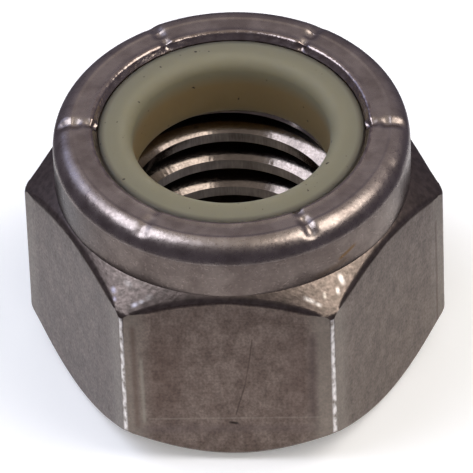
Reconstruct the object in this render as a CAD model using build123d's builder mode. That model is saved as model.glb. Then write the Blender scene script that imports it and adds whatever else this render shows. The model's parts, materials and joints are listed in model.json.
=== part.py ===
"""Nylon insert lock nut for a 1/2-13 UNC bolt, in two pieces.

A hexagon nut is cold formed in one piece with a thin collar on its top. A nylon ring is dropped
into the collar's seat, and the collar's rim is rolled in over it, so that the ring stays trapped.
The nut stands on its bearing face: the origin is that face's centre, and +Z is the thread's axis.
The thread itself isn't cut here: its bore is the thread's minor diameter, with both countersinks.
"""

import os
from math import cos, pi, radians, sin, tan

from build123d import *

os.makedirs("parts", exist_ok=True)

# ---------------------------------------------------------------- driving dimensions, mm and degrees
# hexagon
across_flats = 19.05
corner_radius = 0.35
bearing_diameter = 17.9
bottom_chamfer_angle = 46.5
shoulder_height = 11.8
top_chamfer_angle = 39.2
outline_margin = 0.3

# thread bore, 1/2-13 UNC
thread_major_diameter = 12.7
thread_minor_diameter = 10.8
countersink_overcut = 0.2
countersink_angle = 90.0

# collar, rolled in over the ring
overall_height = 15.09
collar_diameter = 18.6
roll_radius = 1.15
lip_diameter = 13.86
lip_thickness = 0.9
lip_face_width = 0.4
lip_face_drop = 0.36

# crimp marks across the rolled rim, one above each corner of the hexagon
crimp_count = 6
crimp_depth = 0.14
crimp_tool_radius = 0.9
crimp_runout_angle = 35.0
crimp_runout_length = 1.6

# seat for the ring
seat_depth = 0.5
seat_wall = 1.2

# nylon ring
insert_clearance = 0.02
insert_bore_diameter = 10.3
insert_land_height = 0.58
insert_crown_rise = 0.3
insert_mouth_radius = 1.0

# ---------------------------------------------------------------- sizes that follow from them
collar_radius = collar_diameter / 2
bearing_radius = bearing_diameter / 2
lip_radius = lip_diameter / 2
minor_radius = thread_minor_diameter / 2
countersink_radius = (thread_major_diameter + countersink_overcut) / 2
countersink_depth = (countersink_radius - minor_radius) / tan(radians(countersink_angle / 2))

seat_radius = collar_radius - seat_wall
seat_floor = shoulder_height - seat_depth
lip_underside = overall_height - lip_thickness
lip_crease_radius = lip_radius + lip_face_width
lip_mouth_height = overall_height - lip_face_drop

# the turned outline that trims the hexagon passes just outside its corners
outline_radius = across_flats / 2 / cos(pi / 6) + outline_margin
rise_of_bottom_chamfer = (outline_radius - bearing_radius) * tan(radians(bottom_chamfer_angle))
drop_of_top_chamfer = (outline_radius - collar_radius) * tan(radians(top_chamfer_angle))


# ---------------------------------------------------------------- tool that presses one crimp mark
# A round bar follows the rim from the lip's mouth over the roll, sunk by the crimp's depth, and
# leaves the collar along a tangent, so that the mark runs out by itself.
bar_offset = crimp_tool_radius - crimp_depth
roll_centre = (collar_radius - roll_radius, overall_height - roll_radius)
bar_bend_radius = roll_radius + bar_offset
runout = radians(crimp_runout_angle)
bend_end = (
    roll_centre[0] + bar_bend_radius * cos(runout),
    roll_centre[1] + bar_bend_radius * sin(runout),
)
bar_end = (
    bend_end[0] + crimp_runout_length * sin(runout),
    bend_end[1] - crimp_runout_length * cos(runout),
)
bar_start = (lip_radius - crimp_tool_radius, overall_height + bar_offset)

with BuildPart() as crimp_tool:
    with BuildLine(Plane.XZ) as bar_path:
        Line(bar_start, (roll_centre[0], bar_start[1]))
        CenterArc(roll_centre, bar_bend_radius, 90, crimp_runout_angle - 90)
        Line(bend_end, bar_end)
    with BuildSketch(Plane(origin=(bar_start[0], 0, bar_start[1]), z_dir=(1, 0, 0))):
        Circle(crimp_tool_radius)
    sweep(path=bar_path.wire())


# ---------------------------------------------------------------- nut body
with BuildPart() as nut_body:
    # hexagon bar with its corners at +X and -X, and flats facing +Y and -Y
    with BuildSketch(Plane.XY):
        RegularPolygon(radius=across_flats / 2, side_count=6, major_radius=False)
        fillet(vertices(), radius=corner_radius)
    extrude(amount=shoulder_height)

    # both ends are chamfered round, which leaves each flat with curved top and bottom edges
    with BuildSketch(Plane.XZ):
        with BuildLine():
            Polyline(
                (0, 0),
                (bearing_radius, 0),
                (outline_radius, rise_of_bottom_chamfer),
                (outline_radius, shoulder_height - drop_of_top_chamfer),
                (collar_radius, shoulder_height),
                (0, shoulder_height),
                close=True,
            )
        make_face()
    revolve(axis=Axis.Z, mode=Mode.INTERSECT)

    # collar, rolled in at its top
    with BuildSketch(Plane.XY.offset(shoulder_height)):
        Circle(collar_radius)
    extrude(amount=overall_height - shoulder_height)
    fillet(edges().group_by(Axis.Z)[-1], radius=roll_radius)

    # thread bore with a countersink at each end, then the seat, the lip's mouth and, above it, the
    # collar's own end face, which the rolling has tilted inwards
    with BuildSketch(Plane.XZ):
        with BuildLine():
            Polyline(
                (0, 0),
                (countersink_radius, 0),
                (minor_radius, countersink_depth),
                (minor_radius, seat_floor - countersink_depth),
                (countersink_radius, seat_floor),
                (seat_radius, seat_floor),
                (seat_radius, lip_underside),
                (lip_radius, lip_underside),
                (lip_radius, lip_mouth_height),
                (lip_crease_radius, overall_height),
                (0, overall_height),
                close=True,
            )
        make_face()
    revolve(axis=Axis.Z, mode=Mode.SUBTRACT)

    # crimp marks above the hexagon's corners
    with PolarLocations(radius=0, count=crimp_count):
        add(crimp_tool.part, mode=Mode.SUBTRACT)

nut_body.part.label = "nut_body"
export_step(nut_body.part, "parts/nut_body.step")


# ---------------------------------------------------------------- nylon ring
# It fills the seat up to the lip. Its inner part stands up into the lip's mouth, and the rolling
# has crowned it towards the bore.
insert_radius = seat_radius - insert_clearance
insert_bore_radius = insert_bore_diameter / 2
land_radius = lip_radius - insert_clearance
insert_rim_top = lip_underside - insert_clearance
land_top = insert_rim_top + insert_land_height
crown_top = land_top + insert_crown_rise

with BuildPart() as nylon_insert:
    with BuildSketch(Plane.XZ):
        with BuildLine():
            Polyline(
                (insert_bore_radius, seat_floor),
                (insert_radius, seat_floor),
                (insert_radius, insert_rim_top),
                (land_radius, insert_rim_top),
                (land_radius, land_top),
                (insert_bore_radius, crown_top),
                close=True,
            )
        make_face()
        mouth_corner = vertices().group_by(Axis.X)[0].sort_by(Axis.Y)[-1]
        fillet(mouth_corner, radius=insert_mouth_radius)
    revolve(axis=Axis.Z)

nylon_insert.part.label = "nylon_insert"
export_step(nylon_insert.part, "parts/nylon_insert.step")
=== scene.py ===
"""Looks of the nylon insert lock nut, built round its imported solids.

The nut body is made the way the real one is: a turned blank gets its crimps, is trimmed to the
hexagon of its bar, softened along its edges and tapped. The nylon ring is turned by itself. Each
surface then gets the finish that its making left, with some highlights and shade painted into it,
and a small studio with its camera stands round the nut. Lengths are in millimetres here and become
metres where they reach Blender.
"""

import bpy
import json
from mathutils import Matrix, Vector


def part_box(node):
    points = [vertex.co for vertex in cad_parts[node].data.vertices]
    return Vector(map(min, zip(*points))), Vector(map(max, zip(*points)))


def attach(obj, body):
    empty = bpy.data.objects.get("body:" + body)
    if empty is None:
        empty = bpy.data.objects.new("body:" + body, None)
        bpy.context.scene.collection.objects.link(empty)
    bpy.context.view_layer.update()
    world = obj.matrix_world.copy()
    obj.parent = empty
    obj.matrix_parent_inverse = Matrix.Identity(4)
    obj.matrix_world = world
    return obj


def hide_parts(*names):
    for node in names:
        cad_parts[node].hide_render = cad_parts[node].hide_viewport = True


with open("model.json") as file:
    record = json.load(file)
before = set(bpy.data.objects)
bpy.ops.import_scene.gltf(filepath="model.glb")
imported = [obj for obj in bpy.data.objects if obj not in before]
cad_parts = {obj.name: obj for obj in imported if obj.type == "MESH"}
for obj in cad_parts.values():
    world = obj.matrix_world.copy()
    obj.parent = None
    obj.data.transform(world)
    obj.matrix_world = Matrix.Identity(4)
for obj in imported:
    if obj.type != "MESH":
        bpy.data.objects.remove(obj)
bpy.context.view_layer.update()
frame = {"record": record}

import json
import logging
import math
from collections.abc import Callable, Sequence
from dataclasses import dataclass
from enum import Enum, IntEnum

import bmesh
import bpy
from mathutils import Matrix, Vector

MM = 0.001
MERGE_DISTANCE = 0.001 * MM
BODY = "root"
log = logging.getLogger("lock_nut")

Point = tuple[float, float]
Place = tuple[float, float, float]
Rgba = tuple[float, float, float, float]
Tree = bpy.types.NodeTree
Socket = bpy.types.NodeSocket
Piece = bpy.types.Object


class Slot(Enum):
    """The record's material slots."""

    STAINLESS = "stainless_steel"
    NYLON = "nylon"


class Operation(Enum):
    """What a tool does to the piece that it meets."""

    CUT = "DIFFERENCE"
    TRIM = "INTERSECT"


class Zone(IntEnum):
    """The parts of the nut body's surface, each with its own finish."""

    FLATS = 0
    CHAMFERS = 1
    WALL = 2
    RIM = 3
    LIP_EDGE = 4
    THREAD = 5


# ---------------------------------------------------------------- colour and nodes


def linear(hex_colour: str) -> Rgba:
    """Turns an sRGB colour into the linear one that a shader takes.

    Args:
        hex_colour: six hex digits after a hash sign.

    Returns:
        The linear red, green and blue, and an alpha of 1.
    """
    shares = [int(hex_colour[i : i + 2], 16) / 255 for i in (1, 3, 5)]
    red, green, blue = (s / 12.92 if s <= 0.04045 else ((s + 0.055) / 1.055) ** 2.4 for s in shares)
    return red, green, blue, 1.0


def add_node(
    tree: Tree, kind: str, settings: dict | None = None, links: dict | None = None
) -> bpy.types.Node:
    """Adds a node with its settings and its links.

    Args:
        tree: the node tree that it joins.
        kind: the node's type, as in ShaderNodeMath.
        settings: values by property name, input name or input number, in the order they are set.
        links: output sockets by the name or number of the input that each one feeds.

    Returns:
        The new node.
    """
    node = tree.nodes.new(kind)
    for key, value in (settings or {}).items():
        if isinstance(key, int) or key in node.inputs:
            node.inputs[key].default_value = value
        else:
            setattr(node, key, value)
    for key, socket in (links or {}).items():
        tree.links.new(socket, node.inputs[key])
    return node


def empty_material(name: str) -> tuple[bpy.types.Material, Socket]:
    """Adds a material that holds nothing but its coordinates.

    Args:
        name: the material's name.

    Returns:
        The material, and the object's coordinates in millimetres.
    """
    material = bpy.data.materials.new(name)
    material.use_nodes = True
    tree = material.node_tree
    tree.nodes.clear()
    place = add_node(tree, "ShaderNodeTexCoord").outputs["Object"]
    in_mm = add_node(tree, "ShaderNodeMapping", {"Scale": (1 / MM,) * 3}, {"Vector": place})
    return material, in_mm.outputs["Vector"]


def radius_from_axis(tree: Tree, in_mm: Socket) -> Socket:
    """Adds a measure of how far each place is from the Z axis.

    Args:
        tree: the node tree that it joins.
        in_mm: coordinates in millimetres.

    Returns:
        The distance, in mm.
    """
    flat = add_node(tree, "ShaderNodeVectorMath", {"operation": "MULTIPLY", 1: (1, 1, 0)}, {0: in_mm})
    radius = add_node(tree, "ShaderNodeVectorMath", {"operation": "LENGTH"}, {0: flat.outputs[0]})
    return radius.outputs["Value"]


@dataclass(frozen=True)
class Pattern:
    """One layer of unevenness in a surface.

    Attributes:
        size: how large its grains are along X, Y and Z, in mm.
        low: the noise level where it starts to show.
        high: the noise level where it shows in full.
        detail: how many finer layers ride on it.
    """

    size: Place
    low: float = 0.35
    high: float = 0.65
    detail: float = 2.0

    def share(self, tree: Tree, in_mm: Socket) -> Socket:
        """Adds the layer to a tree.

        Args:
            tree: the node tree that it joins.
            in_mm: coordinates in millimetres.

        Returns:
            How much the layer shows, from 0 to 1.
        """
        scale = {"Scale": tuple(1 / side for side in self.size)}
        limits = {"From Min": self.low, "From Max": self.high}
        scaled = add_node(tree, "ShaderNodeMapping", scale, {0: in_mm}).outputs[0]
        noise = add_node(tree, "ShaderNodeTexNoise", {"Scale": 1.0, "Detail": self.detail}, {0: scaled})
        return add_node(tree, "ShaderNodeMapRange", limits, {0: noise.outputs["Fac"]}).outputs[0]


@dataclass(frozen=True)
class Mark:
    """One scratch, streak, stain, painted glint or painted shade: a straight soft-edged stroke on the
    surface.

    Attributes:
        start: where it starts, in mm.
        end: where it ends, in mm.
        width: how wide it is, in mm.
        colour: its own colour.
        strength: how much of the surface's colour it covers, from 0 to 1.
    """

    start: Place
    end: Place
    width: float
    colour: str
    strength: float

    def share(self, tree: Tree, in_mm: Socket) -> Socket:
        """Adds the stroke to a tree.

        Args:
            tree: the node tree that it joins.
            in_mm: coordinates in millimetres.

        Returns:
            How much the stroke covers, from 0 to its strength.
        """
        start = Vector(self.start)
        end = Vector(self.end)
        middle = (start + end) / 2
        heading = (end - start).normalized()
        half_length = (end - start).length / 2
        side_fade = {"interpolation_type": "SMOOTHSTEP", "From Min": self.width, "From Max": 0.0}
        end_fade = {
            "interpolation_type": "SMOOTHSTEP",
            "From Min": half_length + self.width,
            "From Max": half_length - self.width,
            "To Max": self.strength,
        }
        offset = add_node(tree, "ShaderNodeVectorMath", {"operation": "SUBTRACT", 1: middle}, {0: in_mm})
        away = offset.outputs["Vector"]
        product = add_node(tree, "ShaderNodeVectorMath", {"operation": "DOT_PRODUCT", 1: heading}, {0: away})
        along = product.outputs["Value"]
        foot = add_node(tree, "ShaderNodeVectorMath", {"operation": "SCALE", 0: heading}, {"Scale": along})
        to_foot = {0: away, 1: foot.outputs["Vector"]}
        across = add_node(tree, "ShaderNodeVectorMath", {"operation": "DISTANCE"}, to_foot).outputs["Value"]
        beside = add_node(tree, "ShaderNodeMapRange", side_fade, {0: across}).outputs[0]
        reach = add_node(tree, "ShaderNodeMath", {"operation": "ABSOLUTE"}, {0: along}).outputs[0]
        within = add_node(tree, "ShaderNodeMapRange", end_fade, {0: reach}).outputs[0]
        return add_node(tree, "ShaderNodeMath", {"operation": "MULTIPLY"}, {0: beside, 1: within}).outputs[0]


# ---------------------------------------------------------------- work on meshes


def clear_selection() -> None:
    """Deselects every object."""
    bpy.ops.object.select_all(action="DESELECT")


def work_on(piece: Piece) -> None:
    """Makes one object the only one that operators act on.

    Args:
        piece: the object.
    """
    clear_selection()
    piece.select_set(True)
    bpy.context.view_layer.objects.active = piece


def open_edit(piece: Piece, kind: str) -> None:
    """Opens a piece in edit mode with nothing selected.

    Args:
        piece: the object to open.
        kind: what is selected next, VERT, EDGE or FACE.
    """
    work_on(piece)
    bpy.ops.object.mode_set(mode="EDIT")
    bpy.ops.mesh.select_mode(type=kind)
    bpy.ops.mesh.select_all(action="DESELECT")


def close_edit() -> None:
    """Leaves edit mode."""
    bpy.ops.object.mode_set(mode="OBJECT")


def pick(piece: Piece, elements: str, wanted: Callable) -> None:
    """Selects the vertices, edges or faces that a test wants, in edit mode.

    Args:
        piece: the object that is open in edit mode.
        elements: the name of the mesh's sequence, verts, edges or faces.
        wanted: says of one element whether it is selected.
    """
    mesh = bmesh.from_edit_mesh(piece.data)
    for element in getattr(mesh, elements):
        if wanted(element):
            element.select_set(True)
    bmesh.update_edit_mesh(piece.data)


def arc(centre: Point, radius: float, start: float, end: float, steps: int) -> list[Point]:
    """Returns the points of an arc.

    Args:
        centre: the arc's centre, as distance from the axis and height, in mm.
        radius: its radius, in mm.
        start: the angle it starts at, in degrees from straight outwards.
        end: the angle it ends at.
        steps: how many straight stretches it is made of.

    Returns:
        Its points, both ends with them.
    """
    angles = [math.radians(start + (end - start) * i / steps) for i in range(steps + 1)]
    return [(centre[0] + radius * math.cos(a), centre[1] + radius * math.sin(a)) for a in angles]


def run(start: Point, end: Point, steps: int) -> list[Point]:
    """Returns the points of a straight stretch, both ends with them, in as many steps as given."""
    shares = [i / steps for i in range(steps + 1)]
    return [(start[0] + (end[0] - start[0]) * s, start[1] + (end[1] - start[1]) * s) for s in shares]


def draw_section(name: str, points: Sequence[Point]) -> Piece:
    """Draws a section on the XZ plane: one vertex, extruded from point to point.

    Args:
        name: the new object's name.
        points: distances from the axis and heights, in mm. A point on top of the last is skipped.

    Returns:
        The section's object.
    """
    clear_selection()
    bpy.ops.mesh.primitive_plane_add(size=MM, location=(0, 0, 0))
    section = bpy.context.active_object
    section.name = name
    bpy.ops.object.mode_set(mode="EDIT")
    bpy.ops.mesh.select_mode(type="VERT")
    bpy.ops.mesh.select_all(action="SELECT")
    bpy.ops.mesh.merge(type="CENTER")
    bpy.ops.transform.translate(value=(points[0][0] * MM, 0, points[0][1] * MM))
    for last, point in zip(points, points[1:]):
        step = ((point[0] - last[0]) * MM, 0, (point[1] - last[1]) * MM)
        if Vector(step).length > MERGE_DISTANCE:
            bpy.ops.mesh.extrude_vertices_move(TRANSFORM_OT_translate={"value": step})
    close_edit()
    return section


def turn_outline(name: str, points: Sequence[Point], steps: int) -> Piece:
    """Turns a closed outline round the axis, as on a lathe.

    Args:
        name: the new object's name.
        points: the outline, whose last point is its first again, in mm.
        steps: how many steps go round.

    Returns:
        The turned piece, closed and with its faces outwards.
    """
    piece = draw_section(name, points)
    bpy.ops.object.mode_set(mode="EDIT")
    bpy.ops.mesh.select_all(action="SELECT")
    bpy.ops.mesh.spin(steps=steps, angle=math.tau, center=(0, 0, 0), axis=(0, 0, 1), use_auto_merge=True)
    bpy.ops.mesh.select_all(action="SELECT")
    bpy.ops.mesh.remove_doubles(threshold=MERGE_DISTANCE)
    bpy.ops.mesh.normals_make_consistent(inside=False)
    close_edit()
    return piece


def work_with_tool(piece: Piece, tool: Piece, operation: Operation) -> None:
    """Cuts a tool out of a piece, or trims the piece to it, and puts the tool away.

    Args:
        piece: the object that changes.
        tool: a closed object, which is deleted afterwards.
        operation: what the tool does.
    """
    step = piece.modifiers.new(operation.name.lower(), "BOOLEAN")
    step.operation = operation.value
    step.solver = "EXACT"
    step.object = tool
    work_on(piece)
    bpy.ops.object.modifier_apply(modifier=step.name)
    bpy.data.objects.remove(tool)


def distance_from_axis(place: Vector) -> float:
    """Returns how far a place is from the Z axis, in mm."""
    return math.hypot(place.x, place.y) / MM


def direction_of(place: Vector) -> float:
    """Returns the direction in which a place lies from the Z axis, in degrees from +X."""
    return math.degrees(math.atan2(place.y, place.x))


def is_between(direction: float, start: float, end: float) -> bool:
    """Says whether a direction lies between two others, going round from start to end, in degrees."""
    return (direction - start) % 360 <= end - start


# ---------------------------------------------------------------- finishes


@dataclass(frozen=True)
class Rim:
    """A band near the hexagon's corners.

    Attributes:
        start: how far from the axis it starts to show, in mm.
        full: how far from the axis it shows in full, in mm.
        colour: its own colour.
        strength: how much of the surface's colour it covers, from 0 to 1.
        wear_and_highlight: how the band comes and goes; it breaks up worn metal, and the painted highlight
            on the corners.
    """

    start: float
    full: float
    colour: str
    strength: float
    wear_and_highlight: Pattern

    def share(self, tree: Tree, in_mm: Socket) -> Socket:
        """Adds the band to a tree.

        Args:
            tree: the node tree that it joins.
            in_mm: coordinates in millimetres.

        Returns:
            How much of the band shows, from 0 to its strength.
        """
        limits = {"From Min": self.start, "From Max": self.full, "To Max": self.strength}
        radius = radius_from_axis(tree, in_mm)
        outside = add_node(tree, "ShaderNodeMapRange", limits, {0: radius}).outputs[0]
        both = {0: outside, 1: self.wear_and_highlight.share(tree, in_mm)}
        return add_node(tree, "ShaderNodeMath", {"operation": "MULTIPLY"}, both).outputs[0]


@dataclass(frozen=True)
class Steel:
    """Stainless steel, a neutral metal that years of handling have turned brown and dull.

    Attributes:
        name: the material's name.
        colour: its colour where it is clean.
        stain: its colour where it is stained.
        blotches: where the stain lies.
        shades: layers that darken it, each with its share of darkness.
        roughness: the least and the most roughness, which follows the first layer of shade.
        relief: the layers of its relief, each with its depth in mm.
        covers: marks and bands on top of it, painted highlights and painted shade among them.
    """

    name: str
    colour: str
    stain: str
    blotches: Pattern
    shades: tuple[tuple[Pattern, float], ...]
    roughness: tuple[float, float]
    relief: tuple[tuple[Pattern, float], ...]
    covers: tuple[Mark | Rim, ...] = ()

    def material(self) -> bpy.types.Material:
        """Builds the finish.

        Returns:
            The new material.
        """
        material, in_mm = empty_material(self.name)
        tree = material.node_tree
        least, most = self.roughness
        grain = self.shades[0][0].share(tree, in_mm)
        roughness = add_node(tree, "ShaderNodeMapRange", {"To Min": least, "To Max": most}, {0: grain})
        links = {"Base Color": self.tone(tree, in_mm), "Roughness": roughness.outputs[0]}
        shader = add_node(tree, "ShaderNodeBsdfPrincipled", {"Metallic": 1.0}, links)
        normal = None
        for pattern, depth in self.relief:
            links = {"Height": pattern.share(tree, in_mm)}
            if normal:
                links["Normal"] = normal
            normal = add_node(tree, "ShaderNodeBump", {"Distance": depth * MM}, links).outputs[0]
        if normal:
            tree.links.new(normal, shader.inputs["Normal"])
        add_node(tree, "ShaderNodeOutputMaterial", links={"Surface": shader.outputs[0]})
        return material

    def tone(self, tree: Tree, in_mm: Socket) -> Socket:
        """Adds the finish's colour.

        Args:
            tree: the node tree that it joins.
            in_mm: coordinates in millimetres.

        Returns:
            The colour.
        """
        colours = {"data_type": "RGBA", 6: linear(self.colour), 7: linear(self.stain)}
        tone = add_node(tree, "ShaderNodeMix", colours, {0: self.blotches.share(tree, in_mm)}).outputs[2]
        for pattern, darkness in self.shades:
            limits = {"To Min": 1.0, "To Max": 1.0 - darkness}
            light = add_node(tree, "ShaderNodeMapRange", limits, {0: pattern.share(tree, in_mm)}).outputs[0]
            shaded = {0: tone, "Scale": light}
            tone = add_node(tree, "ShaderNodeVectorMath", {"operation": "SCALE"}, shaded).outputs[0]
        for cover in self.covers:
            colours = {"data_type": "RGBA", 7: linear(cover.colour)}
            covered = {0: cover.share(tree, in_mm), 6: tone}
            tone = add_node(tree, "ShaderNodeMix", colours, covered).outputs[2]
        return tone


# where the front flat lies along Y, in mm
FRONT = -9.525
# a band with this wear shows all along
UNBROKEN = Pattern((1.0, 1.0, 1.0), -1.0, 0.0)
# brown stains of the collar, and the grain that handling has left on it
COLLAR_STAINS = Pattern((1.2, 1.2, 1.2), 0.4, 0.65, 3.0)
COLLAR_GRAIN = Pattern((0.16, 0.16, 0.16), 0.3, 0.7, 2.0)
# finer grain of what a die has pressed or a blade has sheared
PRESSED_GRAIN = Pattern((0.14, 0.14, 0.14), 0.3, 0.7, 2.0)
# front flat: two stains, upright lines towards both corners, a scratch in three lengths with a
# gouge at its foot, and lines along the flat; right flat: a stain along its far corner and three nicks
FLAT_MARKS = (
    Mark((-3.3, FRONT, 9.0), (-3.5, FRONT, 3.6), 1.5, "#4f3f38", 0.4),
    Mark((3.5, FRONT, 9.0), (3.5, FRONT, 3.6), 1.1, "#544540", 0.35),
    Mark((-4.87, FRONT, 9.8), (-4.83, FRONT, 2.4), 0.3, "#4c3a33", 0.5),
    Mark((-4.5, FRONT, 7.4), (-4.46, FRONT, 2.8), 0.15, "#8a857a", 0.45),
    Mark((4.42, FRONT, 9.2), (4.36, FRONT, 3.0), 0.4, "#453838", 0.55),
    Mark((1.29, FRONT, 8.9), (1.1, FRONT, 7.3), 0.07, "#3a2f2b", 0.6),
    Mark((1.1, FRONT, 7.3), (0.84, FRONT, 5.6), 0.07, "#3a2f2b", 0.4),
    Mark((0.84, FRONT, 5.6), (0.31, FRONT, 3.4), 0.07, "#3a2f2b", 0.6),
    Mark((-0.02, FRONT, 2.86), (0.42, FRONT, 2.78), 0.16, "#0c0909", 0.95),
    Mark((-4.2, FRONT, 3.05), (4.7, FRONT, 3.3), 0.09, "#8b8279", 0.25),
    Mark((-4.6, FRONT, 2.3), (4.6, FRONT, 2.5), 0.5, "#574c4b", 0.35),
    Mark((0.7, FRONT, 10.2), (4.3, FRONT, 10.0), 0.08, "#50443e", 0.4),
    Mark((10.56, -0.76, 9.0), (10.57, -0.74, 1.5), 0.16, "#4b3330", 0.7),
    Mark((9.45, -2.68, 8.2), (9.47, -2.65, 7.9), 0.12, "#3a2a24", 0.8),
    Mark((9.02, -3.43, 4.4), (9.04, -3.4, 4.25), 0.13, "#3a2a24", 0.8),
    Mark((9.5, -2.6, 4.5), (9.52, -2.56, 4.4), 0.12, "#3a2a24", 0.8),
)
# cold-drawn bar: fine grain and faint lines along the hexagon, rubbed bright along its corners, with a
# painted highlight on each corner's rounding
DRAWN_FLATS = Steel(
    name="drawn_stainless",
    colour="#786a62",
    stain="#655750",
    blotches=Pattern((0.7, 0.7, 0.9), 0.36, 0.64, 6.0),
    shades=(
        (Pattern((0.12, 0.12, 0.16), 0.3, 0.7, 2.0), 0.34),
        (Pattern((0.25, 0.25, 6.0), 0.35, 0.7, 3.0), 0.1),
        (Pattern((5.0, 5.0, 0.12), 0.5, 0.75, 2.0), 0.1),
    ),
    roughness=(0.3, 0.42),
    relief=((Pattern((0.16, 0.16, 3.0), 0.2, 0.8), 0.0015), (Pattern((1.5, 1.5, 1.5), 0.1, 0.9), 0.015)),
    covers=(
        Rim(10.3, 10.65, "#8f887e", 0.35, UNBROKEN),
        *FLAT_MARKS,
        # painted highlight: a near-white broken line along each corner's rounding, on metal rubbed bright
        # there
        Rim(10.912, 10.942, "#ebe6e4", 1.0, Pattern((0.25, 0.25, 0.45), 0.28, 0.6, 2.0)),
    ),
)
# painted glints: near-white strokes on the highest dimples of the chamfers left and right of the front flat
PAINTED_CHAMFER_GLINTS = (
    Mark((-5.88, -8.16, 11.18), (-5.81, -8.3, 11.12), 0.2, "#d6d0de", 0.85),
    Mark((-5.79, -8.58, 10.94), (-5.75, -8.69, 10.88), 0.16, "#b9b2c4", 0.6),
    Mark((-4.8, -9.15, 10.92), (-4.61, -9.13, 11.01), 0.19, "#ded8dc", 0.9),
    Mark((-4.46, -9.1, 11.1), (-4.27, -9.08, 11.18), 0.16, "#d2ccc8", 0.75),
    Mark((-4.09, -9.0, 11.31), (-3.86, -8.95, 11.42), 0.24, "#b3aca2", 0.6),
    Mark((-5.19, -8.04, 11.58), (-4.97, -8.24, 11.53), 0.25, "#aaa49b", 0.4),
    Mark((5.81, -7.53, 11.63), (5.99, -7.8, 11.36), 0.22, "#e6dfd8", 0.85),
    Mark((5.71, -8.13, 11.28), (5.75, -8.31, 11.14), 0.17, "#e6dfd8", 0.9),
    Mark((5.04, -8.51, 11.32), (5.08, -8.71, 11.16), 0.14, "#d8d0c4", 0.6),
    Mark((4.05, -8.94, 11.36), (4.51, -9.01, 11.15), 0.17, "#e6dfd8", 0.85),
    Mark((4.65, -9.05, 11.07), (4.86, -9.08, 10.97), 0.15, "#e6dfd8", 0.8),
)
# cold-formed chamfer: dimpled by the die, so it is mottled, with painted glints on its highest dimples
FORGED_CHAMFER = Steel(
    name="forged_stainless",
    colour="#80736a",
    stain="#695f57",
    blotches=Pattern((0.35, 0.35, 0.35), 0.38, 0.66, 2.0),
    shades=((PRESSED_GRAIN, 0.12),),
    roughness=(0.28, 0.4),
    relief=((Pattern((0.22, 0.22, 0.22), 0.15, 0.85, 1.0), 0.007),),
    covers=PAINTED_CHAMFER_GLINTS,
)
# turned collar wall: satin, dulled by handling, with painted shade over its left side
TURNED_WALL = Steel(
    name="turned_stainless",
    colour="#8f827a",
    stain="#7c6f68",
    blotches=COLLAR_STAINS,
    shades=((COLLAR_GRAIN, 0.14),),
    roughness=(0.26, 0.36),
    relief=((Pattern((0.5, 0.5, 0.5), 0.15, 0.85), 0.003),),
    covers=(
        # painted shade: a wide near-black stroke darkens the left of the wall, in place of the shade it
        # mirrors
        Mark((-8.6, 4.8, 12.9), (-7.6, -5.8, 12.9), 3.4, "#3c3535", 1.0),
        Mark((6.6, -6.56, 12.95), (5.8, -7.27, 12.55), 0.2, "#7a5a30", 0.85),
        Mark((6.3, -6.85, 12.3), (4.6, -8.1, 12.0), 0.35, "#5d4527", 0.45),
    ),
)
# rolled rim: burnished by the roller, with soft ripples that smear each lamp's image
ROLLED_RIM = Steel(
    name="rolled_stainless",
    colour="#a3978f",
    stain="#8b7f78",
    blotches=COLLAR_STAINS,
    shades=((COLLAR_GRAIN, 0.14),),
    roughness=(0.24, 0.38),
    relief=((Pattern((0.6, 0.6, 0.6), 0.1, 0.9), 0.014),),
)
# end face of the collar's sheared wall, tilted into the mouth: bright and uneven
SHEARED_EDGE = Steel(
    name="sheared_stainless",
    colour="#a3968f",
    stain="#8a7c75",
    blotches=Pattern((0.5, 0.5, 0.5), 0.4, 0.65, 3.0),
    shades=((PRESSED_GRAIN, 0.12),),
    roughness=(0.16, 0.26),
    relief=((Pattern((0.3, 0.3, 0.3), 0.15, 0.85, 1.0), 0.02),),
)
# tapped thread: smooth flanks that mirror the lamps, with chatter lines across the crests
TAPPED_THREAD = Steel(
    name="tapped_stainless",
    colour="#8a7f77",
    stain="#736962",
    blotches=Pattern((1.0, 1.0, 1.0), 0.4, 0.65, 3.0),
    shades=((Pattern((0.1, 0.1, 0.9), 0.35, 0.6, 2.0), 0.2),),
    roughness=(0.08, 0.15),
    relief=((Pattern((0.7, 0.7, 0.7), 0.1, 0.9), 0.006),),
)


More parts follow.
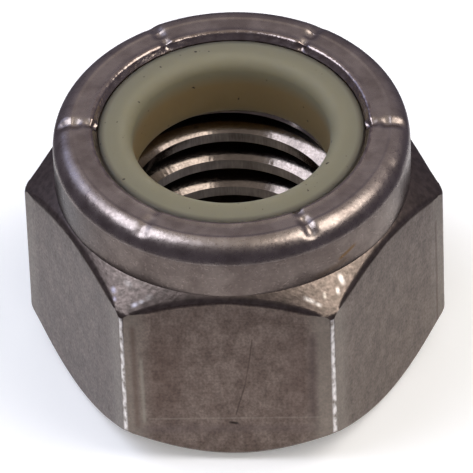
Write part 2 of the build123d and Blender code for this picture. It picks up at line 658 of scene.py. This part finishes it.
@dataclass(frozen=True)
class AgedNylon:
    """Natural nylon, moulded: cream with a green cast and cloudy, stained by oil in its bore.

    Attributes:
        name: the material's name.
        colour: its colour where it is clean.
        stain: its colour where oil has soaked in.
        dirt_and_shade: the colour of the specks, and of the grime towards the lip, which is also painted
            shade.
        roughness: how matt its surface is.
        shine: how strongly the surface mirrors, where 0.5 is plain plastic.
        glow_depth: how far red, green and blue light wander inside it, in mm.
        clouds: its surface's unevenness.
        cloud_depth: how deep that goes, in mm.
        specks: where specks of dirt lie.
        stain_top: the height where the stain starts, in mm.
        stain_bottom: the height where it is full.
        grime_and_shade_start: how far from the axis the grime and painted shade start, in mm.
        grime_and_shade_full: how far from the axis they are full.
    """

    name: str = "aged_natural_nylon"
    colour: str = "#777260"
    stain: str = "#7d6a4a"
    dirt_and_shade: str = "#2b231d"
    roughness: float = 0.55
    shine: float = 0.25
    glow_depth: Place = (4.0, 3.6, 2.6)
    clouds: Pattern = Pattern((1.5, 1.5, 1.5), 0.3, 0.7, 3.0)
    cloud_depth: float = 0.01
    specks: Pattern = Pattern((0.3, 0.3, 0.3), 0.74, 0.79, 1.0)
    stain_top: float = 14.0
    stain_bottom: float = 13.2
    grime_and_shade_start: float = 6.55
    grime_and_shade_full: float = 6.95

    def material(self) -> bpy.types.Material:
        """Builds the finish: a stain that grows down the bore, grime and painted shade towards the lip, and
        specks.

        Returns:
            The new material.
        """
        material, in_mm = empty_material(self.name)
        tree = material.node_tree
        height = add_node(tree, "ShaderNodeSeparateXYZ", links={0: in_mm}).outputs["Z"]
        limits = {"From Min": self.stain_top, "From Max": self.stain_bottom}
        stained = add_node(tree, "ShaderNodeMapRange", limits, {0: height}).outputs[0]
        # grime and painted shade: darker towards the lip, where the ring meets the metal
        limits = {"From Min": self.grime_and_shade_start, "From Max": self.grime_and_shade_full}
        radius = radius_from_axis(tree, in_mm)
        lip_grime_and_shade = add_node(tree, "ShaderNodeMapRange", limits, {0: radius}).outputs[0]
        colours = {"data_type": "RGBA", 6: linear(self.colour), 7: linear(self.stain)}
        tone = add_node(tree, "ShaderNodeMix", colours, {0: stained}).outputs[2]
        colours = {"data_type": "RGBA", 7: linear(self.dirt_and_shade)}
        for share in (lip_grime_and_shade, self.specks.share(tree, in_mm)):
            tone = add_node(tree, "ShaderNodeMix", colours, {0: share, 6: tone}).outputs[2]
        clouds = {"Height": self.clouds.share(tree, in_mm)}
        uneven = add_node(tree, "ShaderNodeBump", {"Distance": self.cloud_depth * MM}, clouds)
        settings = {
            "Roughness": self.roughness,
            "Specular IOR Level": self.shine,
            "Subsurface Weight": 1.0,
            "Subsurface Radius": tuple(depth * MM for depth in self.glow_depth),
            "Subsurface Scale": 1.0,
        }
        links = {"Base Color": tone, "Normal": uneven.outputs[0]}
        shader = add_node(tree, "ShaderNodeBsdfPrincipled", settings, links)
        add_node(tree, "ShaderNodeOutputMaterial", links={"Surface": shader.outputs[0]})
        return material


# ---------------------------------------------------------------- nut body


@dataclass(frozen=True)
class Press:
    """One place where a tool has pressed the rolled rim in, or left it proud.

    Attributes:
        start: the direction where it starts round the rim, in degrees from +X.
        end: the direction where it ends, going round from the start.
        inner: how far from the axis it starts, in mm.
        outer: how far from the axis it ends, in mm.
        depth: how deep it goes, in mm; a negative depth leaves the rim proud.
        reach: how far from it the rim still moves, in mm.
    """

    start: float
    end: float
    inner: float
    outer: float
    depth: float
    reach: float

    def covers(self, place: Vector) -> bool:
        """Says whether a place lies under the tool, at whatever height.

        Args:
            place: the place, in metres.

        Returns:
            Whether it does.
        """
        is_near = self.inner <= distance_from_axis(place) <= self.outer
        return is_near and is_between(direction_of(place), self.start, self.end)


def crimp(direction: float, depth: float = 0.19) -> tuple[Press, Press]:
    """Returns the presses of one crimp: a tool with two teeth sinks into the bead and into the roll.

    Args:
        direction: where it lies round the rim, in degrees from +X.
        depth: how deep it goes, in mm.

    Returns:
        The bead's press and the roll's.
    """
    half_width = 0.5
    start = direction - half_width
    end = direction + half_width
    bead = Press(start, end, inner=7.05, outer=7.4, depth=depth, reach=0.4)
    roll = Press(start, end, inner=8.0, outer=8.85, depth=depth, reach=0.5)
    return bead, roll


@dataclass
class NutBody:
    """Hexagon, rolled collar and tapped bore, formed in one piece. Sizes are in mm, angles in degrees.

    Attributes:
        across_flats: the hexagon's width.
        height: how high the rolled rim's top is.
        minor_radius: the bore's radius, which the thread's crests keep.
        bore_bottom: the height where the lower countersink ends.
        bore_top: the height where the upper countersink starts.
        corner_radius: the rounding of the bar's corners.
        corner_rounding: the blank's rounding between each chamfer and its side.
        bearing_radius: the radius of the face that it stands on.
        bottom_chamfer: how steep the lower chamfer is.
        top_chamfer: how steep the upper chamfer is.
        shoulder_height: the height where the collar starts.
        outline_radius: the blank's radius.
        collar_radius: the collar's outer radius.
        roll_radius: the radius of the roll that ends the collar.
        roll_turn: how far the roll goes round.
        roll_runout: the gap in which the roll runs out into the land.
        land_drop: how far the land lies below the rim's top.
        bead_centre_radius: how far from the axis the bead's centre runs.
        bead_radius: the radius of the bead round the mouth.
        bead_turn: the angles where the bead starts and ends.
        bead_runout: the gap in which the land rises into the bead.
        mouth_radius: the mouth's radius.
        mouth_drop: how far the tilted end face goes down.
        lip_thickness: how thick the lip over the ring is.
        seat_radius: the radius of the ring's seat.
        seat_floor: the height of the seat's floor.
        top_edge_radius: how round the edges of the flats are at the top.
        bottom_edge_radius: the same at the bottom.
        corner_fade: how far before the corner those roundings start to narrow.
        least_fold: an edge whose faces meet at a smaller angle isn't rounded.
        largest_climb: an edge that climbs more than this isn't rounded.
        softening_levels: how many widths the roundings have.
        pitch: how far the thread climbs in one turn.
        thread_angle: the angle between its flanks.
        thread_major_radius: the radius of its roots.
        thread_crest_height: the height of one crest, in the next value's direction.
        thread_crest_direction: where that crest is, from +X.
        turned_steps: how many steps go round the blank.
        thread_steps: how many steps one turn of the thread has.
        smooth_angle: a sharper edge stays sharp to the eye.
        presses: where the rolled rim is pressed in or left proud.
    """

    across_flats: float
    height: float
    minor_radius: float
    bore_bottom: float
    bore_top: float
    corner_radius: float = 0.35
    corner_rounding: float = 0.6
    bearing_radius: float = 8.95
    bottom_chamfer: float = 46.5
    top_chamfer: float = 39.2
    shoulder_height: float = 11.8
    outline_radius: float = 10.95
    collar_radius: float = 9.3
    roll_radius: float = 1.15
    roll_turn: float = 82.0
    roll_runout: float = 0.06
    land_drop: float = 0.035
    bead_centre_radius: float = 7.35
    bead_radius: float = 0.245
    bead_turn: tuple[float, float] = (78.0, 150.0)
    bead_runout: float = 0.15
    mouth_radius: float = 6.95
    mouth_drop: float = 0.36
    lip_thickness: float = 0.9
    seat_radius: float = 8.1
    seat_floor: float = 11.3
    top_edge_radius: float = 0.6
    bottom_edge_radius: float = 0.25
    corner_fade: float = 0.35
    least_fold: float = 25.0
    largest_climb: float = 0.3
    softening_levels: int = 10
    pitch: float = 1.954
    thread_angle: float = 60.0
    thread_major_radius: float = 6.35
    thread_crest_height: float = 9.17
    thread_crest_direction: float = 90.0
    turned_steps: int = 384
    thread_steps: int = 128
    smooth_angle: float = 35.0
    presses: tuple[Press, ...] = (
        Press(-15.0, 118.0, 8.95, 9.0, -0.08, 0.75),
        Press(60.0, 118.0, 8.7, 8.8, -0.02, 0.4),
        *crimp(3.0),
        *crimp(61.0),
        *crimp(120.0),
        *crimp(179.0),
        *crimp(-119.0, 0.08),
        *crimp(-60.0),
    )

    @property
    def outline(self) -> list[Point]:
        """The turned blank's outline.

        Returns:
            Its points, from the bearing face over the rim to the bore and back.
        """
        top = math.radians(self.top_chamfer)
        bottom = math.radians(self.bottom_chamfer)
        rounding = self.corner_rounding
        corner = self.outline_radius - rounding
        drop = (corner - self.collar_radius) * math.tan(top) + rounding / math.cos(top)
        rise = (corner - self.bearing_radius) * math.tan(bottom) + rounding / math.cos(bottom)
        countersink = self.minor_radius + self.bore_bottom
        roll_centre = (self.collar_radius - self.roll_radius, self.height - self.roll_radius)
        roll = arc(roll_centre, self.roll_radius, 0, self.roll_turn, steps=20)
        bead_centre = (self.bead_centre_radius, self.height - self.bead_radius)
        bead = arc(bead_centre, self.bead_radius, *self.bead_turn, steps=9)
        land_height = self.height - self.land_drop
        land_start = (roll[-1][0] - self.roll_runout, land_height)
        land_end = (bead[0][0] + self.bead_runout, land_height)
        mouth = (self.mouth_radius, self.height - self.mouth_drop)
        lip_underside = self.height - self.lip_thickness
        return [
            (countersink, 0.0),
            (self.bearing_radius, 0.0),
            *arc((corner, rise), rounding, self.bottom_chamfer - 90, 0, steps=6),
            *arc((corner, self.shoulder_height - drop), rounding, 0, 90 - self.top_chamfer, steps=6),
            *run((self.collar_radius, self.shoulder_height), (self.collar_radius, roll_centre[1]), steps=12),
            *roll,
            *run(land_start, land_end, steps=7),
            *bead,
            *run(bead[-1], mouth, steps=3),
            *run(mouth, (self.mouth_radius, lip_underside), steps=4),
            (self.seat_radius, lip_underside),
            (self.seat_radius, self.seat_floor),
            (self.minor_radius + self.seat_floor - self.bore_top, self.seat_floor),
            (self.minor_radius, self.bore_top),
            (self.minor_radius, self.bore_bottom),
            (countersink, 0.0),
        ]

    def build(self) -> Piece:
        """Makes the body.

        Returns:
            Its object, with its place in its mesh.
        """
        body = turn_outline("nut_body_detail", self.outline, self.turned_steps)
        log.info("blank turned: %d faces", len(body.data.polygons))
        for press in self.presses:
            self.press(body, press)
        work_with_tool(body, self.hexagon_bar(), Operation.TRIM)
        self.soften(body)
        work_with_tool(body, self.tap(), Operation.CUT)
        self.smooth(body)
        log.info("body finished: %d faces", len(body.data.polygons))
        return body

    def press(self, body: Piece, press: Press) -> None:
        """Presses the rim in one place.

        Args:
            body: the turned blank.
            press: where and how deep.
        """
        lowest = self.height - self.lip_thickness
        open_edit(body, "VERT")
        pick(body, "verts", lambda vertex: vertex.co.z / MM >= lowest and press.covers(vertex.co))
        bpy.ops.transform.shrink_fatten(
            value=-press.depth * MM,
            use_proportional_edit=True,
            proportional_edit_falloff="SMOOTH",
            proportional_size=press.reach * MM,
        )
        close_edit()

    def hexagon_bar(self) -> Piece:
        """Makes the hexagon bar that trims the blank, with its corners at +X and -X.

        Returns:
            The bar, longer than the nut at both ends.
        """
        clear_selection()
        bpy.ops.mesh.primitive_cylinder_add(
            vertices=6,
            radius=self.across_flats / 2 / math.cos(math.pi / 6) * MM,
            depth=2 * self.height * MM,
            location=(0, 0, self.height / 2 * MM),
        )
        bar = bpy.context.active_object
        open_edit(bar, "EDGE")
        bpy.ops.mesh.select_all(action="SELECT")
        bpy.ops.transform.rotate(value=math.radians(30), orient_axis="Z", center_override=(0, 0, 0))
        bpy.ops.mesh.select_all(action="DESELECT")
        pick(bar, "edges", lambda edge: abs(edge.verts[0].co.z - edge.verts[1].co.z) > MM)
        bpy.ops.mesh.bevel(
            offset=self.corner_radius * math.tan(math.pi / 6) * MM,
            offset_type="OFFSET",
            segments=6,
            profile=0.5,
            affect="EDGES",
            clamp_overlap=False,
        )
        close_edit()
        return bar

    def soften(self, body: Piece) -> None:
        """Rounds the edges where the flats meet the chamfers.

        Args:
            body: the body.
        """
        levels = self.softening_levels
        open_edit(body, "EDGE")
        for level in range(1, levels + 1):
            bpy.ops.mesh.select_all(action="DESELECT")
            pick(body, "edges", lambda edge: round(self.edge_share(edge) * levels) == level)
            bpy.ops.transform.edge_bevelweight(value=level / levels)
        close_edit()
        rounding = body.modifiers.new("rounding", "BEVEL")
        rounding.limit_method = "WEIGHT"
        rounding.offset_type = "OFFSET"
        rounding.width = self.widest_offset * MM
        rounding.segments = 5
        rounding.use_clamp_overlap = False
        work_on(body)
        bpy.ops.object.modifier_apply(modifier=rounding.name)

    @property
    def widest_offset(self) -> float:
        """How far the widest rounding reaches from its edge."""
        return self.top_edge_radius * math.tan(math.radians(90 - self.top_chamfer) / 2)

    def edge_share(self, edge: bmesh.types.BMEdge) -> float:
        """Returns how wide an edge's rounding is.

        A rounding narrows where the chamfer beside it is narrow, and ends before the hexagon's
        corner, which has a rounding of its own.

        Args:
            edge: any edge of the body.

        Returns:
            Its share of the widest rounding, or 0 for an edge that stays as it is.
        """
        clearance = 0.05
        middle = (edge.verts[0].co + edge.verts[1].co) / 2
        radius = distance_from_axis(middle)
        if radius < self.across_flats / 2 - clearance or not edge.is_manifold:
            return 0.0
        climb = abs(edge.verts[0].co.z - edge.verts[1].co.z) / MM
        if edge.calc_face_angle() < math.radians(self.least_fold) or climb > self.largest_climb:
            return 0.0
        is_top = middle.z / MM > self.height / 2
        edge_radius, inner, chamfer = (
            (self.top_edge_radius, self.collar_radius, self.top_chamfer)
            if is_top
            else (self.bottom_edge_radius, self.bearing_radius, self.bottom_chamfer)
        )
        hair = 0.01
        usable_share = 0.8
        slope = math.radians(chamfer)
        offset = edge_radius * math.tan(math.radians(90 - chamfer) / 2)
        room = usable_share * (radius - inner) / math.cos(slope)
        limit = self.outline_radius - self.corner_rounding * (1 - math.sin(slope))
        fade = max(0.0, min(1.0, (limit - hair - radius) / self.corner_fade))
        return min(offset, room) * fade / self.widest_offset

    def tap(self) -> Piece:
        """Makes the tap: the thread's groove, screwed through the whole nut.

        Returns:
            The groove's closed helix, in triangles.
        """
        overcut = 0.2
        inner = self.minor_radius - overcut
        # the groove's floor is an eighth of a pitch wide
        root_half = self.pitch / 8 / 2
        flank = math.tan(math.radians(self.thread_angle / 2))
        inner_half = root_half + (self.thread_major_radius - inner) * flank
        turns = math.ceil(self.height / self.pitch) + 2
        # a groove lies half a pitch above each crest, and the first turn starts below the bearing face
        middle = self.thread_crest_height - self.thread_crest_direction / 360 * self.pitch + self.pitch / 2
        start = middle - math.ceil(middle / self.pitch + 1) * self.pitch
        section = [
            (inner, start - inner_half),
            (self.thread_major_radius, start - root_half),
            (self.thread_major_radius, start + root_half),
            (inner, start + inner_half),
        ]
        groove = draw_section("tap", section)
        bpy.ops.object.mode_set(mode="EDIT")
        bpy.ops.mesh.select_all(action="SELECT")
        bpy.ops.mesh.edge_face_add()
        close_edit()
        screw = groove.modifiers.new("turns", "SCREW")
        screw.axis = "Z"
        screw.angle = math.tau
        screw.screw_offset = self.pitch * MM
        screw.iterations = turns
        screw.steps = self.thread_steps
        screw.render_steps = self.thread_steps
        work_on(groove)
        bpy.ops.object.modifier_apply(modifier=screw.name)
        open_edit(groove, "FACE")
        bpy.ops.mesh.select_all(action="SELECT")
        bpy.ops.mesh.remove_doubles(threshold=MERGE_DISTANCE)
        bpy.ops.mesh.quads_convert_to_tris()
        bpy.ops.mesh.normals_make_consistent(inside=False)
        close_edit()
        return groove

    def smooth(self, body: Piece) -> None:
        """Shades the body smooth across its roundings, and flat on its large faces.

        Args:
            body: the finished body.
        """
        work_on(body)
        bpy.ops.object.shade_smooth_by_angle(angle=math.radians(self.smooth_angle))
        weigh = body.modifiers.new("weigh", "WEIGHTED_NORMAL")
        weigh.keep_sharp = True
        bpy.ops.object.modifier_apply(modifier=weigh.name)

    def dress(self, body: Piece) -> None:
        """Gives each surface the finish that its making left, with the highlights and shade painted into it.

        Args:
            body: the finished body.
        """
        finishes = {
            Zone.FLATS: DRAWN_FLATS,
            Zone.CHAMFERS: FORGED_CHAMFER,
            Zone.WALL: TURNED_WALL,
            Zone.RIM: ROLLED_RIM,
            Zone.LIP_EDGE: SHEARED_EDGE,
            Zone.THREAD: TAPPED_THREAD,
        }
        for zone in Zone:
            body.data.materials.append(finishes[zone].material())
        for face in body.data.polygons:
            face.material_index = self.zone(face.center, face.normal)

    def zone(self, centre: Vector, normal: Vector) -> Zone:
        """Returns the zone that a face belongs to.

        Args:
            centre: the face's middle.
            normal: the way it faces.

        Returns:
            The zone.
        """
        hair = 0.01
        seat_margin = 0.1
        thread_margin = 0.15
        steepest_side = math.sin(math.radians(20))
        radius = distance_from_axis(centre)
        height = centre.z / MM
        if radius < self.thread_major_radius + thread_margin and height < self.seat_floor + hair:
            return Zone.THREAD
        if radius < self.bead_centre_radius and height > self.seat_floor:
            return Zone.LIP_EDGE
        if height > self.height - self.roll_radius:
            return Zone.RIM
        is_in_seat = radius < self.seat_radius + seat_margin and height > self.seat_floor - seat_margin
        if is_in_seat or height > self.shoulder_height - hair:
            return Zone.WALL
        if abs(normal.z) > steepest_side:
            return Zone.CHAMFERS
        return Zone.FLATS


# ---------------------------------------------------------------- nylon ring


@dataclass
class NylonRing:
    """Ring that grips the bolt, with its crown squeezed up by the rolled lip. Sizes are in mm.

    Attributes:
        radius: its outer radius, in the seat.
        bottom: the height of its underside.
        top: the height of its crown.
        bore_radius: the radius of its bore.
        bore_foot_radius: the rounding at the bore's foot.
        rim_top: the height of its rim, under the lip.
        land_radius: the radius of the part that stands in the lip's mouth.
        land_top: the height where the crown starts to rise.
        edge_drop: the size of the crown's outer edge.
        mouth_radius: the rounding from the crown into the bore.
        crown_width: how wide the crown's level part is.
        turned_steps: how many steps go round it.
        smooth_angle: a sharper edge stays sharp to the eye, in degrees.
    """

    radius: float
    bottom: float
    top: float
    bore_radius: float = 5.15
    bore_foot_radius: float = 0.12
    rim_top: float = 14.17
    land_radius: float = 6.93
    land_top: float = 14.77
    edge_drop: float = 0.12
    mouth_radius: float = 0.7
    crown_width: float = 0.1
    turned_steps: int = 256
    smooth_angle: float = 40.0

    @property
    def outline(self) -> list[Point]:
        """The ring's outline.

        Returns:
            Its points, from its underside over the crown to the bore and back.
        """
        mouth = (self.bore_radius + self.mouth_radius, self.top - self.mouth_radius)
        crown = (mouth[0] + self.crown_width, self.top)
        foot = (self.bore_radius + self.bore_foot_radius, self.bottom + self.bore_foot_radius)
        return [
            (self.radius, self.bottom),
            (self.radius, self.rim_top),
            (self.land_radius, self.rim_top),
            (self.land_radius, self.land_top - self.edge_drop),
            *run((self.land_radius - self.edge_drop, self.land_top), crown, steps=6),
            *arc(mouth, self.mouth_radius, 90, 180, steps=14),
            *run((self.bore_radius, mouth[1]), (self.bore_radius, foot[1]), steps=10),
            *arc(foot, self.bore_foot_radius, 180, 270, steps=3),
            (self.radius, self.bottom),
        ]

    def build(self) -> Piece:
        """Makes the ring.

        Returns:
            Its object, with its place in its mesh.
        """
        ring = turn_outline("nylon_insert_detail", self.outline, self.turned_steps)
        work_on(ring)
        bpy.ops.object.shade_smooth_by_angle(angle=math.radians(self.smooth_angle))
        log.info("nylon ring finished: %d faces", len(ring.data.polygons))
        return ring

    def dress(self, ring: Piece) -> None:
        """Gives the ring its nylon."""
        ring.data.materials.append(AgedNylon().material())


# ---------------------------------------------------------------- studio


def towards(azimuth: float, elevation: float) -> Vector:
    """Returns the way towards a place on the sky.

    Args:
        azimuth: how far it is turned from +X, in degrees.
        elevation: how high it is, in degrees.

    Returns:
        The unit vector.
    """
    turned = math.radians(azimuth)
    raised = math.radians(elevation)
    level = math.cos(raised)
    return Vector((math.cos(turned) * level, math.sin(turned) * level, math.sin(raised)))


@dataclass(frozen=True)
class Softbox:
    """A square lamp that faces the nut.

    Attributes:
        name: what it is called.
        azimuth: the direction that it stands in, in degrees from +X.
        elevation: how high it stands, in degrees.
        distance: how far it is from the nut, in mm.
        side: its side, in mm.
        radiance: how bright its face is, where 1 is a white surface in plain light.
        colour: its colour.
        mirrored: whether polished surfaces show it.
    """

    name: str
    azimuth: float
    elevation: float
    distance: float
    side: float
    radiance: float
    colour: str
    mirrored: bool = True

    def place(self, aim: Vector) -> None:
        """Sets the lamp up.

        Args:
            aim: the point that it faces, in metres.
        """
        heading = towards(self.azimuth, self.elevation)
        lamp = bpy.data.lights.new(self.name, "AREA")
        lamp.shape = "SQUARE"
        lamp.size = self.side * MM
        lamp.energy = self.radiance * math.pi * (self.side * MM) ** 2
        lamp.color = linear(self.colour)[:3]
        stand = bpy.data.objects.new(self.name, lamp)
        stand.location = aim + heading * self.distance * MM
        stand.rotation_euler = heading.to_track_quat("Z", "Y").to_euler()
        stand.visible_camera = False
        stand.visible_glossy = self.mirrored
        bpy.context.scene.collection.objects.link(stand)


@dataclass
class Studio:
    """Pale floor, four softboxes, a plain world and a light tent. Sizes are in mm.

    Only polished surfaces see the tent, so that steel has something dark to mirror, as it has
    between the lamps of a real studio. Its glow grows from its foot to its top.

    Attributes:
        floor_size: the floor's side.
        floor_colour: the colour of its board.
        floor_lift: how much it glows to rays that see it directly, which makes it white.
        tent_radius: how far the tent is from the nut.
        tent_lift: how high its ground sheet lies over the floor.
        tent_foot_colour: the colour of its glow at its foot.
        tent_top_colour: the colour of its glow at its top.
        front_glow: how bright its foot and its top are, in front.
        back_glow: the same, behind.
        front_power: how late the glow grows towards the top, in front.
        back_power: the same, behind.
        opening: how far from the nut its ground sheet starts, and where it is full.
        world_light: how bright the world is for all but rays that see it directly.
        softboxes: the lamps.
    """

    floor_size: float = 3000.0
    floor_colour: str = "#fbfaf9"
    floor_lift: float = 0.16
    tent_radius: float = 450.0
    tent_lift: float = 0.2
    tent_foot_colour: str = "#eae2ff"
    tent_top_colour: str = "#fff7ee"
    front_glow: tuple[float, float] = (0.14, 0.2)
    back_glow: tuple[float, float] = (0.19, 0.95)
    front_power: float = 4.0
    back_power: float = 2.0
    opening: tuple[float, float] = (17.0, 30.0)
    world_light: float = 0.35
    softboxes: tuple[Softbox, ...] = (
        Softbox("softbox_left", -174.0, 56.5, 400.0, 250.0, 4.3, "#e5ecff"),
        Softbox("softbox_window", 150.0, 34.0, 400.0, 190.0, 1.0, "#bccdff"),
        Softbox("softbox_right", -9.0, 53.5, 400.0, 265.0, 4.0, "#fffaf4"),
        Softbox("softbox_front", -86.0, 32.0, 400.0, 300.0, 1.3, "#ffffff", mirrored=False),
    )

    def build(self, aim: Vector) -> None:
        """Sets up the studio.

        Args:
            aim: the middle of the nut, in metres.
        """
        self.lay_floor()
        self.pitch_tent()
        self.light_world()
        for softbox in self.softboxes:
            softbox.place(aim)
        bpy.context.scene.view_settings.view_transform = "Standard"

    def lay_floor(self) -> None:
        """Lays the pale floor."""
        clear_selection()
        bpy.ops.mesh.primitive_grid_add(size=self.floor_size * MM, x_subdivisions=4, y_subdivisions=4)
        floor = bpy.context.active_object
        floor.name = "floor"
        floor.data.materials.append(self.floor_board())

    def pitch_tent(self) -> None:
        """Pitches the tent: half a sphere with a ground sheet, open round the nut."""
        hair = 0.01 * MM
        clear_selection()
        bpy.ops.mesh.primitive_uv_sphere_add(
            segments=64, ring_count=32, radius=self.tent_radius * MM, location=(0, 0, 0)
        )
        tent = bpy.context.active_object
        tent.name = "light_tent"
        open_edit(tent, "VERT")
        pick(tent, "verts", lambda vertex: vertex.co.z < -hair)
        bpy.ops.mesh.delete(type="VERT")
        pick(tent, "verts", lambda vertex: vertex.co.z < hair)
        bpy.ops.mesh.edge_face_add()
        bpy.ops.mesh.select_all(action="SELECT")
        bpy.ops.transform.translate(value=(0, 0, self.tent_lift * MM))
        close_edit()
        tent.data.materials.append(self.tent_cloth())
        tent.visible_camera = False
        tent.visible_diffuse = False
        tent.visible_shadow = False
        tent.visible_transmission = False

    def tent_cloth(self) -> bpy.types.Material:
        """Returns the tent's cloth.

        Returns:
            A material that glows more towards the top and the back, and lets through near the nut.
        """
        material, in_mm = empty_material("tent_cloth")
        tree = material.node_tree
        place = add_node(tree, "ShaderNodeSeparateXYZ", links={0: in_mm}).outputs
        depth = {"From Min": -self.tent_radius, "From Max": self.tent_radius}
        levels = []
        for front, back in (*zip(self.front_glow, self.back_glow), (self.front_power, self.back_power)):
            limits = {**depth, "To Min": front, "To Max": back}
            levels.append(add_node(tree, "ShaderNodeMapRange", limits, {0: place["Y"]}).outputs[0])
        foot, top, power = levels
        whole = {"operation": "DIVIDE", 1: self.tent_radius}
        rise = add_node(tree, "ShaderNodeMath", whole, {0: place["Z"]}).outputs[0]
        share = add_node(tree, "ShaderNodeMath", {"operation": "POWER"}, {0: rise, 1: power}).outputs[0]
        glow = add_node(tree, "ShaderNodeMapRange", {}, {0: share, "To Min": foot, "To Max": top}).outputs[0]
        colours = {"data_type": "RGBA", 6: linear(self.tent_foot_colour), 7: linear(self.tent_top_colour)}
        tint = add_node(tree, "ShaderNodeMix", colours, {0: share}).outputs[2]
        cloth = add_node(tree, "ShaderNodeEmission", {}, {"Color": tint, "Strength": glow}).outputs[0]
        hole = add_node(tree, "ShaderNodeBsdfTransparent").outputs[0]
        distance = add_node(tree, "ShaderNodeVectorMath", {"operation": "LENGTH"}, {0: in_mm})
        limits = {"From Min": self.opening[0], "From Max": self.opening[1]}
        closed = add_node(tree, "ShaderNodeMapRange", limits, {0: distance.outputs["Value"]}).outputs[0]
        sheet = add_node(tree, "ShaderNodeMixShader", {}, {0: closed, 1: hole, 2: cloth}).outputs[0]
        add_node(tree, "ShaderNodeOutputMaterial", links={"Surface": sheet})
        return material

    def seen_directly(self, tree: Tree) -> Socket:
        """Adds a test of how a ray got here.

        Args:
            tree: the node tree that it joins.

        Returns:
            1 for a ray from the camera, from a mirror or through glass, and 0 for any other.
        """
        path = add_node(tree, "ShaderNodeLightPath").outputs
        rays = {0: path["Is Camera Ray"], 1: path["Is Glossy Ray"]}
        seen = add_node(tree, "ShaderNodeMath", {"operation": "ADD"}, rays).outputs[0]
        rays = {0: seen, 1: path["Is Transmission Ray"]}
        return add_node(tree, "ShaderNodeMath", {"operation": "ADD", "use_clamp": True}, rays).outputs[0]

    def floor_board(self) -> bpy.types.Material:
        """Returns the floor's material, matt and pale, with a lift that makes it white where it is lit.

        Returns:
            The new material.
        """
        material, _ = empty_material("pale_matt_board")
        tree = material.node_tree
        board = {"Base Color": linear(self.floor_colour), "Roughness": 1.0}
        matt = add_node(tree, "ShaderNodeBsdfPrincipled", board).outputs[0]
        share = {0: self.seen_directly(tree)}
        glow = add_node(tree, "ShaderNodeMapRange", {"To Max": self.floor_lift}, share).outputs[0]
        white = {"Color": linear("#ffffff")}
        lift = add_node(tree, "ShaderNodeEmission", white, {"Strength": glow}).outputs[0]
        both = add_node(tree, "ShaderNodeAddShader", {}, {0: matt, 1: lift}).outputs[0]
        add_node(tree, "ShaderNodeOutputMaterial", links={"Surface": both})
        return material

    def light_world(self) -> None:
        """Gives the world a white background, and a weaker even light for all else."""
        world = bpy.data.worlds.new("plain_world")
        world.use_nodes = True
        tree = world.node_tree
        tree.nodes.clear()
        limits = {"To Min": self.world_light, "To Max": 1.0}
        strength = add_node(tree, "ShaderNodeMapRange", limits, {0: self.seen_directly(tree)}).outputs[0]
        white = {"Color": linear("#ffffff")}
        background = add_node(tree, "ShaderNodeBackground", white, {"Strength": strength}).outputs[0]
        add_node(tree, "ShaderNodeOutputWorld", links={"Surface": background})
        bpy.context.scene.world = world


@dataclass
class Viewpoint:
    """The camera: a long lens that looks down on the nut. Angles are in degrees and lengths in mm.

    Attributes:
        azimuth: where it stands, from +X.
        elevation: how high it stands.
        roll: how far it is turned about the way it looks.
        distance: how far it is from what it looks at.
        target: what it looks at.
        focal_pixels: the lens's focal length, in pixels of the picture.
        picture_pixels: how many pixels wide the picture is.
        sensor: how wide the sensor is.
    """

    azimuth: float = -86.206
    elevation: float = 43.9006
    roll: float = -2.2217
    distance: float = 457.2
    target: Place = (0.0686, 0.0, 7.104)
    focal_pixels: float = 8710.73
    picture_pixels: float = 473.0
    sensor: float = 36.0

    def set_up(self) -> None:
        """Adds the camera and makes it the scene's."""
        away = towards(self.azimuth, self.elevation)
        right = Vector((0, 0, 1)).cross(away).normalized()
        level = Matrix((right, away.cross(right), away)).transposed()
        lens = bpy.data.cameras.new("camera")
        lens.sensor_fit = "HORIZONTAL"
        lens.sensor_width = self.sensor
        lens.lens = self.focal_pixels / self.picture_pixels * self.sensor
        camera = bpy.data.objects.new("camera", lens)
        camera.location = (Vector(self.target) + away * self.distance) * MM
        camera.rotation_euler = (level @ Matrix.Rotation(math.radians(self.roll), 3, "Z")).to_euler()
        bpy.context.scene.collection.objects.link(camera)
        bpy.context.scene.camera = camera


# ---------------------------------------------------------------- all together


def main() -> None:
    """Builds the pieces in order and reports each one."""
    logging.basicConfig(level=logging.INFO, format="%(name)s: %(message)s")
    low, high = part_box("nut_body")
    ring_low, ring_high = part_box("nylon_insert")
    thread = next(mount for mount in frame["record"]["mounts"] if mount["name"] == "thread")
    half_bore = thread["dims"]["length_mm"] / 2
    bore_middle = thread["pos_m"][2] / MM

    body = NutBody(
        across_flats=(high.y - low.y) / MM,
        height=high.z / MM,
        minor_radius=thread["dims"]["r_mm"],
        bore_bottom=bore_middle - half_bore,
        bore_top=bore_middle + half_bore,
    )
    body_piece = body.build()
    body.dress(body_piece)
    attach(body_piece, BODY)
    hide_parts("nut_body")

    ring = NylonRing(
        radius=ring_high.x / MM,
        bottom=ring_low.z / MM,
        top=ring_high.z / MM,
    )
    ring_piece = ring.build()
    ring.dress(ring_piece)
    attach(ring_piece, BODY)
    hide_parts("nylon_insert")

    Studio().build(aim=(low + high) / 2)
    Viewpoint().set_up()


if __name__ == "__main__":
    main()
